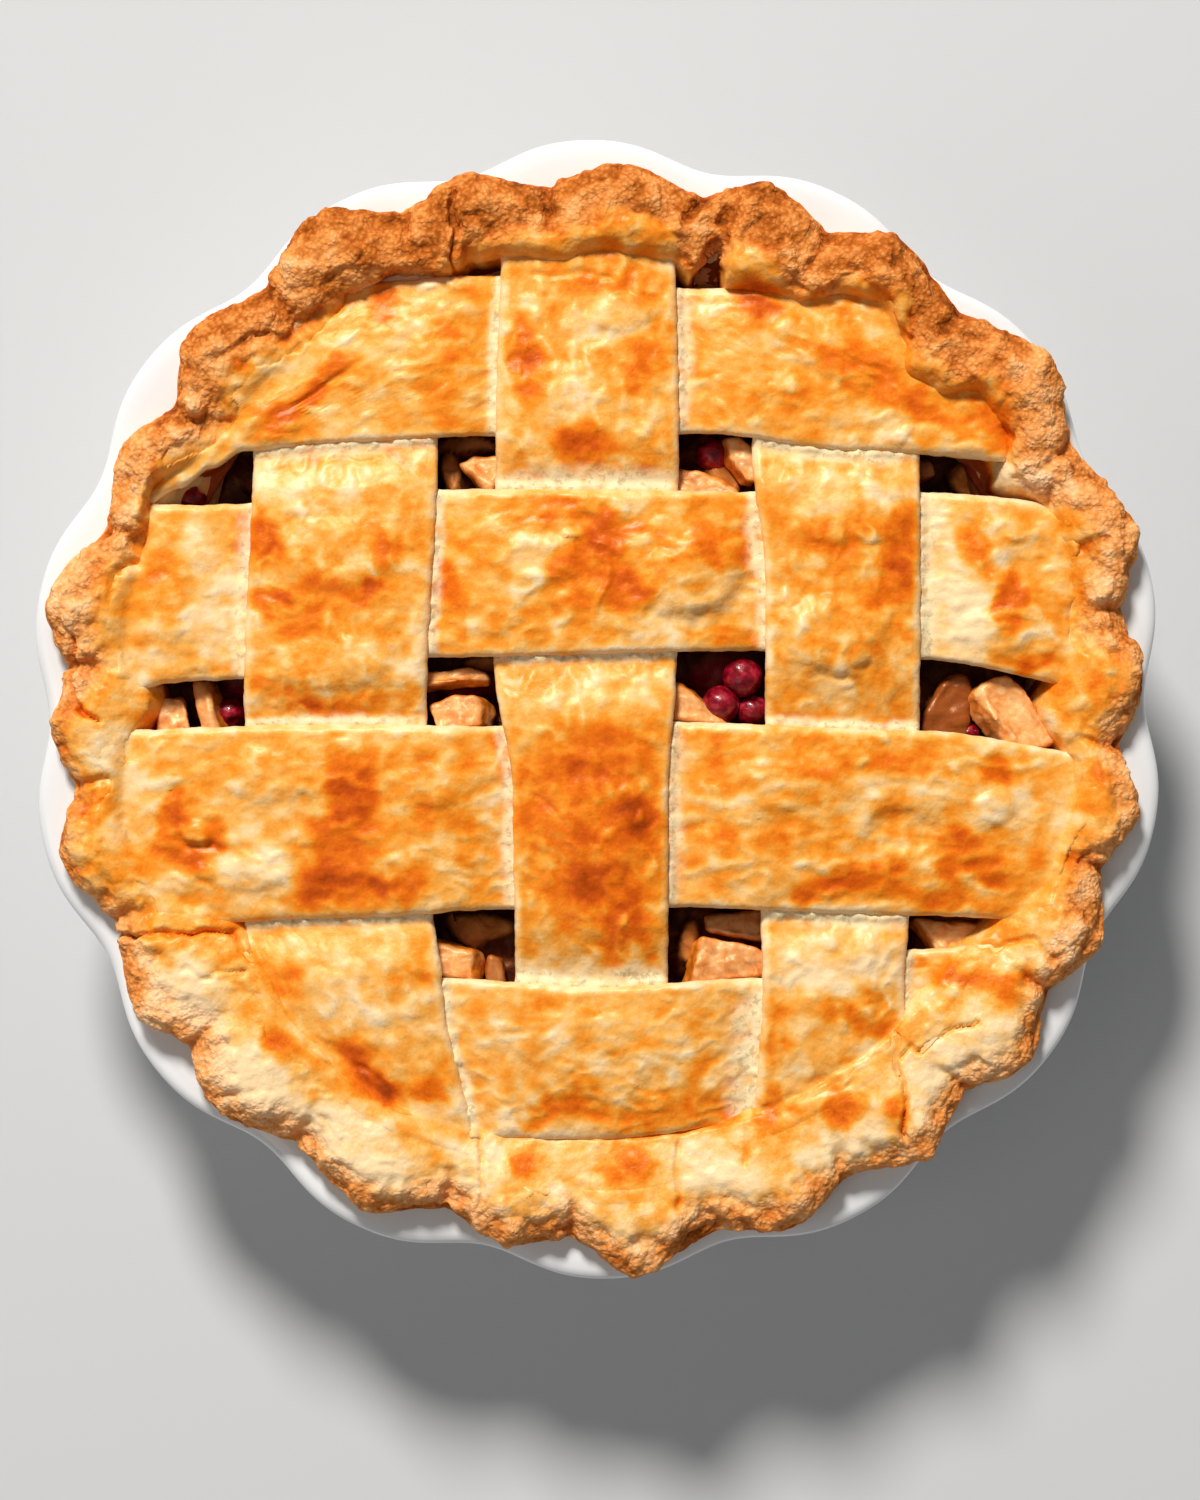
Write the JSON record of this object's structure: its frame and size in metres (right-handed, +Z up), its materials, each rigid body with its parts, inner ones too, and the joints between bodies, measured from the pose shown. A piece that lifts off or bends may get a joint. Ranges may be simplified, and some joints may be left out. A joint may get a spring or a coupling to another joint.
{
  "type": "lattice apple pie",
  "caption": "Baked apple and cranberry pie with a wide woven lattice top and a hand-crimped edge, in a round white ceramic dish with a fluted rim",
  "frame": {"origin": "centre of the dish's foot ring, on the surface it stands on, which is the bottom centre of the whole", "axes": "+Z up, out of the lattice; +Y towards the side where the crimped edge is thickest; +X to its right, along the across strips"},
  "size_m": [0.2622, 0.2662, 0.0624],
  "materials": {
    "glazed_ceramic": "glossy white glaze",
    "browned_pastry": "matt, crumbly, browned",
    "fruit_sauce": "wet, dark red-brown",
    "glazed_pastry": "egg-washed, golden, satin",
    "baked_apple": "soft and moist",
    "cranberry_skin": "glossy crimson"
  },
  "bodies": {
    "root": {"pie_dish": "glazed_ceramic", "pastry_case": "browned_pastry", "filling": "fruit_sauce", "strip_across_1": "glazed_pastry", "strip_across_2": "glazed_pastry", "strip_across_3": "glazed_pastry", "strip_across_4": "glazed_pastry", "strip_down_1": "glazed_pastry", "strip_down_2": "glazed_pastry", "strip_down_3": "glazed_pastry", "apple_slice_01": "baked_apple", "apple_slice_02": "baked_apple", "apple_slice_03": "baked_apple", "apple_slice_04": "baked_apple", "apple_slice_05": "baked_apple", "apple_slice_06": "baked_apple", "apple_slice_07": "baked_apple", "apple_slice_08": "baked_apple", "apple_slice_09": "baked_apple", "apple_slice_10": "baked_apple", "apple_slice_11": "baked_apple", "apple_slice_12": "baked_apple", "apple_slice_13": "baked_apple", "apple_slice_14": "baked_apple", "apple_slice_15": "baked_apple", "apple_slice_16": "baked_apple", "cranberry_1": "cranberry_skin", "cranberry_2": "cranberry_skin", "cranberry_3": "cranberry_skin", "cranberry_4": "cranberry_skin", "cranberry_5": "cranberry_skin", "cranberry_6": "cranberry_skin", "cranberry_7": "cranberry_skin"}
  },
  "joints": []
}
